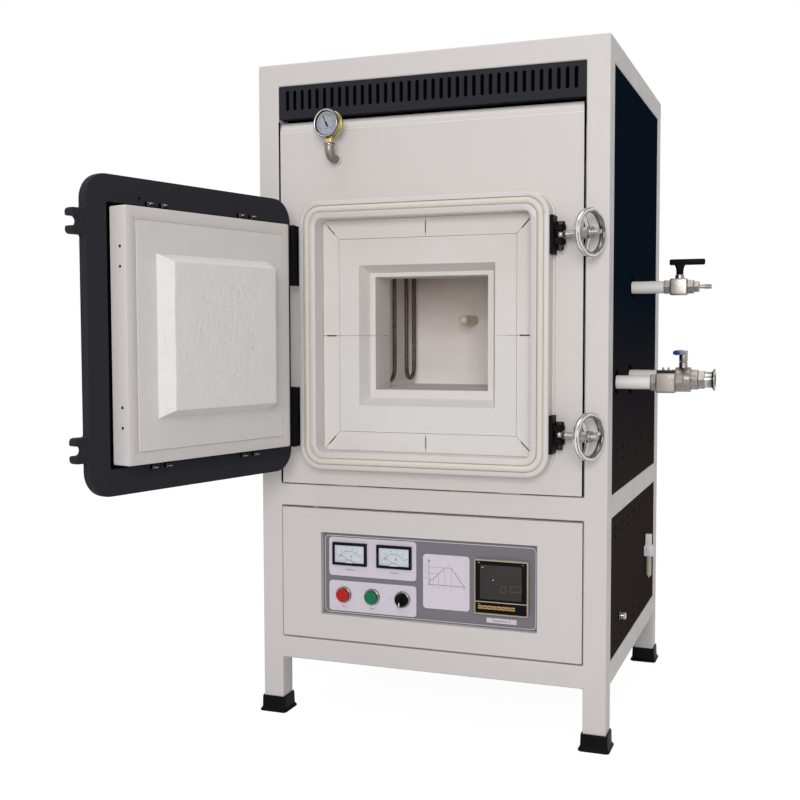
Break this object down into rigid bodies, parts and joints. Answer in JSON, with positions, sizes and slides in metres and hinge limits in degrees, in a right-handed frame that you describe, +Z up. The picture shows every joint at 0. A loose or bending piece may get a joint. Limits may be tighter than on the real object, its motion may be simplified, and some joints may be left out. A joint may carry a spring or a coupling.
{
  "type": "atmosphere muffle furnace",
  "caption": "Floor-standing gas-tight muffle furnace on a square-tube stand, with a side-hinged plug door, swing bolts with handwheels, a control recess and side valves.",
  "frame": {"origin": "on the floor, under the centre of the square-tube stand", "axes": "+Z up, +X to the operator's right, -Y towards the operator, where the door is"},
  "size_m": [0.8353, 1.1237, 1.19],
  "materials": {
    "light_enamel": "smooth satin powder coat, warm light grey",
    "foot_plastic": "moulded black",
    "dark_enamel": "fine textured powder coat, anthracite",
    "cover_enamel": "satin powder coat, dark blue-black",
    "steel": "plain machined steel",
    "seal_cord": "matt cream silicone seal",
    "fibre_board": "matt white vacuum-formed fibre board",
    "hot_lining": "matt beige fibre board, browned by heat",
    "element": "dark glazed heating rod",
    "fibre_tube": "glazed ceramic tube",
    "label_print": "printed sheet",
    "instrument_black": "black moulded case",
    "plated_steel": "bright plated",
    "brass": "turned brass",
    "filter_clear": "clear bowl over a pale element",
    "red_cap": "red moulded cap",
    "green_cap": "green moulded cap",
    "needle_black": "black painted pointer",
    "blue_grip": "blue dipped grip"
  },
  "bodies": {
    "cabinet": {"corner_posts": "light_enamel", "frame_rails": "light_enamel", "foot_caps": "foot_plastic", "vent_grille": "dark_enamel", "vessel_front_plate": "light_enamel", "control_fascia": "light_enamel", "right_panels": "cover_enamel", "left_panels": "cover_enamel", "rear_panels": "cover_enamel", "deck_plates": "light_enamel", "vessel_shell": "steel", "vessel_cradle": "light_enamel", "door_flange": "light_enamel", "door_seal": "seal_cord", "surround_boards": "fibre_board", "throat_boards": "fibre_board", "chamber_floor": "hot_lining", "chamber_walls": "hot_lining", "chamber_roof": "hot_lining", "heating_elements": "element", "element_terminals": "steel", "thermocouple": "fibre_tube", "hinge_brackets": "dark_enamel", "pivot_pins": "steel", "clevis_brackets": "dark_enamel", "control_plate": "light_enamel", "label_plates": "label_print", "meter_cases": "instrument_black", "button_bezels": "plated_steel", "controller_case": "instrument_black", "gauge_case": "plated_steel", "gauge_elbow": "steel", "side_pipes": "light_enamel", "outlet_valve_body": "plated_steel", "hose_barb": "brass", "relief_valve": "steel", "vacuum_valve_body": "plated_steel", "vacuum_flange": "steel", "gas_filter": "filter_clear", "cable_gland": "foot_plastic"},
    "door": {"door_plate": "dark_enamel", "door_tray": "light_enamel", "door_board": "fibre_board", "door_plug": "fibre_board", "hinge_leaves": "dark_enamel"},
    "upper_bolt": {"upper_eye_bolt": "plated_steel"},
    "upper_washer": {"upper_thrust_washer": "plated_steel"},
    "upper_wheel": {"upper_handwheel": "plated_steel"},
    "lower_bolt": {"lower_eye_bolt": "plated_steel"},
    "lower_washer": {"lower_thrust_washer": "plated_steel"},
    "lower_wheel": {"lower_handwheel": "plated_steel"},
    "stop_push": {"stop_button": "red_cap"},
    "start_push": {"start_button": "green_cap"},
    "selector": {"selector_knob": "needle_black"},
    "voltmeter_pointer": {"voltmeter_needle": "needle_black"},
    "ammeter_pointer": {"ammeter_needle": "needle_black"},
    "gauge_pointer": {"gauge_needle": "needle_black"},
    "outlet_handle": {"outlet_valve_handle": "instrument_black"},
    "vacuum_lever": {"vacuum_valve_lever": "blue_grip"},
    "lock": {"panel_lock": "plated_steel"}
  },
  "joints": [
    {"name": "door_hinge", "type": "hinge", "parent": "cabinet", "child": "door", "pos_m": [-0.236, -0.338, 0.701], "axis": [0, 0, 1], "range_deg": [-60, 104]},
    {"name": "upper_bolt_swing", "type": "hinge", "parent": "cabinet", "child": "upper_bolt", "pos_m": [0.242, -0.316, 0.866], "axis": [0, 0, 1], "range_deg": [-65.8, 0]},
    {"name": "upper_nut_travel", "type": "slide", "parent": "upper_bolt", "child": "upper_washer", "axis": [0.9121, -0.4099, 0], "range_m": [-0.0038, 0.0046]},
    {"name": "upper_wheel_spin", "type": "hinge", "parent": "upper_washer", "child": "upper_wheel", "pos_m": [0.242, -0.316, 0.866], "axis": [0.9121, -0.4099, 0], "range_deg": [-900, 1080]},
    {"name": "lower_bolt_swing", "type": "hinge", "parent": "cabinet", "child": "lower_bolt", "pos_m": [0.242, -0.316, 0.536], "axis": [0, 0, 1], "range_deg": [-65.8, 0]},
    {"name": "lower_nut_travel", "type": "slide", "parent": "lower_bolt", "child": "lower_washer", "axis": [0.9121, -0.4099, 0], "range_m": [-0.0038, 0.0046]},
    {"name": "lower_wheel_spin", "type": "hinge", "parent": "lower_washer", "child": "lower_wheel", "pos_m": [0.242, -0.316, 0.536], "axis": [0.9121, -0.4099, 0], "range_deg": [-900, 1080]},
    {"name": "stop_button_press", "type": "slide", "parent": "cabinet", "child": "stop_push", "axis": [0, 1, 0], "range_m": [0, 0.003], "stiffness_N_per_m": 600},
    {"name": "start_button_press", "type": "slide", "parent": "cabinet", "child": "start_push", "axis": [0, 1, 0], "range_m": [0, 0.003], "stiffness_N_per_m": 600},
    {"name": "selector_turn", "type": "hinge", "parent": "cabinet", "child": "selector", "pos_m": [-0.047, -0.29, 0.2295], "axis": [0, 1, 0], "range_deg": [-45, 45]},
    {"name": "voltmeter_swing", "type": "hinge", "parent": "cabinet", "child": "voltmeter_pointer", "pos_m": [-0.1485, -0.292, 0.292], "axis": [0, 1, 0], "range_deg": [0, 110], "stiffness_Nm_per_rad": 0.0002},
    {"name": "ammeter_swing", "type": "hinge", "parent": "cabinet", "child": "ammeter_pointer", "pos_m": [-0.0623, -0.292, 0.292], "axis": [0, 1, 0], "range_deg": [0, 110], "stiffness_Nm_per_rad": 0.0002},
    {"name": "gauge_swing", "type": "hinge", "parent": "cabinet", "child": "gauge_pointer", "pos_m": [-0.1655, -0.333, 1.0705], "axis": [0.1564, 0.9877, 0], "range_deg": [-90, 130], "stiffness_Nm_per_rad": 0.0002},
    {"name": "outlet_handle_turn", "type": "hinge", "parent": "cabinet", "child": "outlet_handle", "pos_m": [0.404, -0.054, 0.827], "axis": [0, 0, 1], "range_deg": [0, 90]},
    {"name": "vacuum_lever_turn", "type": "hinge", "parent": "cabinet", "child": "vacuum_lever", "pos_m": [0.414, -0.0705, 0.66], "axis": [0, 0, 1], "range_deg": [0, 90]},
    {"name": "panel_lock_turn", "type": "hinge", "parent": "cabinet", "child": "lock", "pos_m": [0.3185, -0.174, 0.205], "axis": [1, 0, 0], "range_deg": [0, 90]}
  ],
  "couplings": [
    {"joint": "upper_nut_travel", "follows": "upper_wheel_spin", "m_per_rad": 0.00023873},
    {"joint": "lower_nut_travel", "follows": "lower_wheel_spin", "m_per_rad": 0.00023873}
  ]
}
